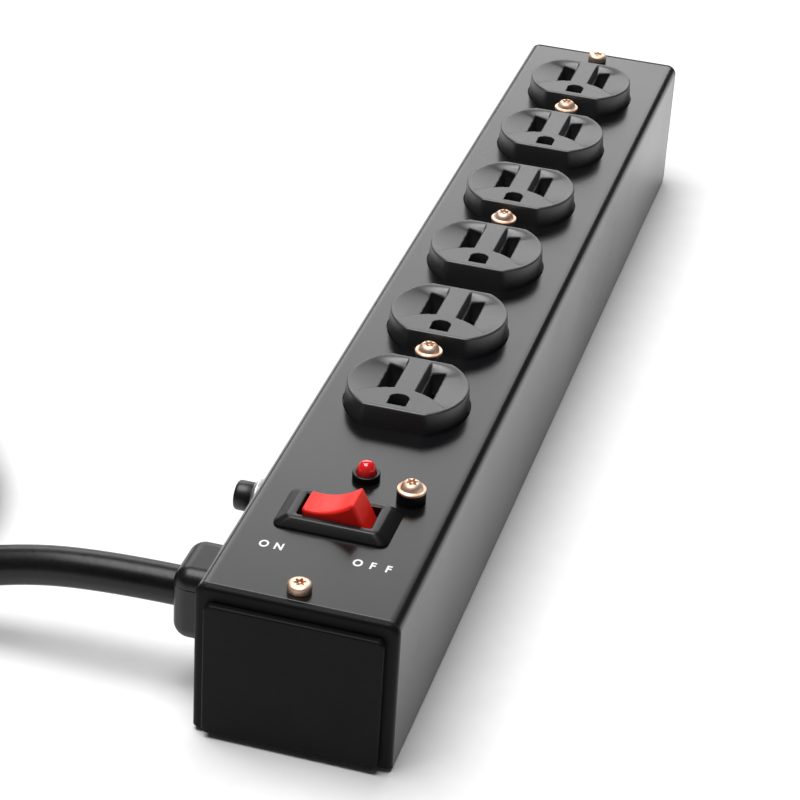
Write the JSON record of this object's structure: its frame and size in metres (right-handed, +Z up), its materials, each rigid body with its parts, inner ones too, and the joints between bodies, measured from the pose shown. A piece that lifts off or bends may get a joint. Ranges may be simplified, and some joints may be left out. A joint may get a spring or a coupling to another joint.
{
  "type": "power strip",
  "caption": "Long rectangular steel power strip with a row of grounded outlets on top, a rocker switch, an indicator lamp, a reset button and a coiled supply cord with plug.",
  "frame": {"origin": "middle of the underside", "axes": "+Z up, +Y along the strip away from the switch, -X towards the reset button and the cord"},
  "size_m": [0.2539, 0.356, 0.0526],
  "materials": {
    "housing_paint": "gloss",
    "cap_plastic": "fine texture",
    "outlet_face_plastic": "satin",
    "outlet_back_plastic": "matte",
    "zinc_screw": "bright",
    "yoke_steel": "zinc plated",
    "contact_brass": "bright",
    "black_nylon": "satin",
    "rocker_plastic": "gloss",
    "lamp_plastic": "clear red",
    "neon_glass": "clear",
    "breaker_nickel": "bright",
    "breaker_plastic": "satin",
    "board_laminate": "satin",
    "standoff_nylon": "matte",
    "varistor_coat": "gloss",
    "wire_black": "satin",
    "wire_white": "satin",
    "wire_green": "satin",
    "cord_jacket": "satin",
    "plug_vinyl": "satin"
  },
  "bodies": {
    "strip": {"housing": "housing_paint", "base_plate": "housing_paint", "front_cap": "cap_plastic", "rear_cap": "cap_plastic", "duplex_face_1": "outlet_face_plastic", "duplex_face_2": "outlet_face_plastic", "duplex_face_3": "outlet_face_plastic", "duplex_back_1": "outlet_back_plastic", "duplex_back_2": "outlet_back_plastic", "duplex_back_3": "outlet_back_plastic", "end_screws": "zinc_screw", "duplex_screws": "zinc_screw", "board_screw": "zinc_screw", "duplex_yoke_1": "yoke_steel", "duplex_yoke_2": "yoke_steel", "duplex_yoke_3": "yoke_steel", "switch_pivot_pin": "yoke_steel", "line_contacts_1": "contact_brass", "line_contacts_2": "contact_brass", "line_contacts_3": "contact_brass", "neutral_contacts_1": "contact_brass", "neutral_contacts_2": "contact_brass", "neutral_contacts_3": "contact_brass", "switch_terminals": "contact_brass", "breaker_terminals": "contact_brass", "plug_blades": "contact_brass", "plug_ground_pin": "contact_brass", "board_screw_collar": "black_nylon", "switch_housing": "black_nylon", "switch_base": "black_nylon", "lamp_collar": "black_nylon", "strain_relief_upper": "black_nylon", "strain_relief_lower": "black_nylon", "lamp_lens": "lamp_plastic", "lamp_neon": "neon_glass", "surge_fuse": "neon_glass", "breaker_neck": "breaker_nickel", "breaker_nut": "breaker_nickel", "breaker_body": "breaker_plastic", "surge_board": "board_laminate", "board_standoff": "standoff_nylon", "surge_varistors": "varistor_coat", "wire_line": "wire_black", "wire_neutral": "wire_white", "wire_ground": "wire_green", "cord": "cord_jacket", "cord_coil": "cord_jacket", "cord_tail": "cord_jacket", "plug_body": "plug_vinyl"},
    "rocker": {"switch_rocker": "rocker_plastic", "switch_plunger": "black_nylon"},
    "lever": {"switch_lever": "contact_brass"},
    "button": {"breaker_button": "breaker_plastic"}
  },
  "joints": [
    {"name": "rocker", "type": "hinge", "parent": "strip", "child": "rocker", "pos_m": [-0.0014, -0.1365, 0.044], "axis": [0, 1, 0], "range_deg": [0, 34]},
    {"name": "lever", "type": "hinge", "parent": "strip", "child": "lever", "pos_m": [-0.0014, -0.1365, 0.0324], "axis": [0, 1, 0], "range_deg": [-12, 0]},
    {"name": "breaker_button", "type": "slide", "parent": "strip", "child": "button", "axis": [-1, 0, 0], "range_m": [0, 0.003]}
  ],
  "couplings": [
    {"joint": "lever", "follows": "rocker", "ratio": -0.35294}
  ]
}
